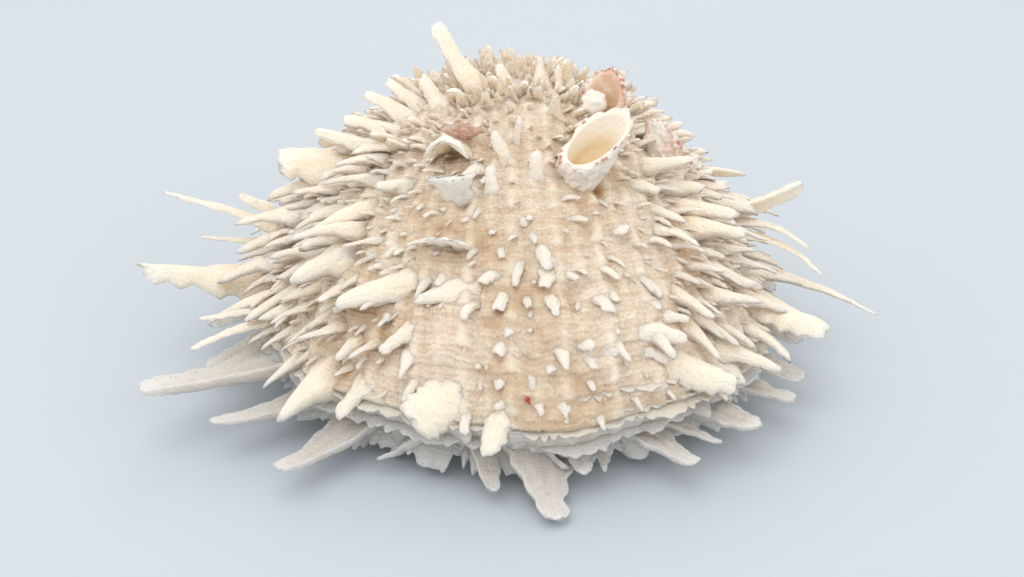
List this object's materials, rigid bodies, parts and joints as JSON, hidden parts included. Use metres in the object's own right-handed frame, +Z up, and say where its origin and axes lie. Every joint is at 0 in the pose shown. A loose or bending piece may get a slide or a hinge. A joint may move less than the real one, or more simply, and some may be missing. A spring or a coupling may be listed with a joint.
{
  "type": "thorny oyster shell",
  "caption": "Closed thorny oyster shell with a high ribbed dome bristling with blunt strap-like spines, small cup shells cemented on it, resting on its flat scar",
  "frame": {"origin": "middle of the flat scar under the lower valve, where the shell was cemented to rock", "axes": "+Z up, hinge towards +Y, free edge of the shell towards -Y, +X to the right seen from the free edge"},
  "size_m": [0.1705, 0.1328, 0.0726],
  "materials": {
    "upper_valve": "matte chalky cream shell with tan stains in the hollows",
    "lower_valve": "matte chalky white shell in frilled layers",
    "cemented_shell": "matte scaly shell, cream inside, with rose flecks along the lip"
  },
  "bodies": {
    "root": {"upper_valve": "upper_valve", "lower_valve": "lower_valve", "cemented_cup_front": "cemented_shell", "cemented_cup_rear": "cemented_shell", "cemented_cup_right": "cemented_shell", "cemented_cup_left": "cemented_shell"}
  },
  "joints": []
}
